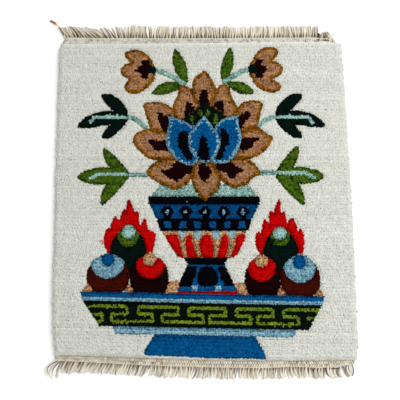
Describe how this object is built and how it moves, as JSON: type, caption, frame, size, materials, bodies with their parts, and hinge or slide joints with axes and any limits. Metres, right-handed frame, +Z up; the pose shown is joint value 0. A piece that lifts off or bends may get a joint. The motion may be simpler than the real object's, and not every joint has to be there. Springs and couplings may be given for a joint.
{
  "type": "tibetan rug",
  "caption": "Small hand-knotted pile rug with a carved lotus, vase, jewels and altar, flat-woven end bands, twined cords and warp fringe.",
  "frame": {"origin": "on the floor, under the middle of the pile", "axes": "+Z up out of the pile, +Y towards the top of the pattern, +X to its right"},
  "size_m": [0.4324, 0.5089, 0.0124],
  "materials": {
    "wool_pile": "cut wool pile, carved round the motifs",
    "cotton_warp": "ribbed flat weave and loose cotton strands",
    "twine": "twined cotton cord"
  },
  "bodies": {
    "root": {"pile": "wool_pile", "fringed_band_top": "cotton_warp", "fringed_band_bottom": "cotton_warp", "twined_cord_top": "twine", "twined_cord_bottom": "twine"}
  },
  "joints": []
}
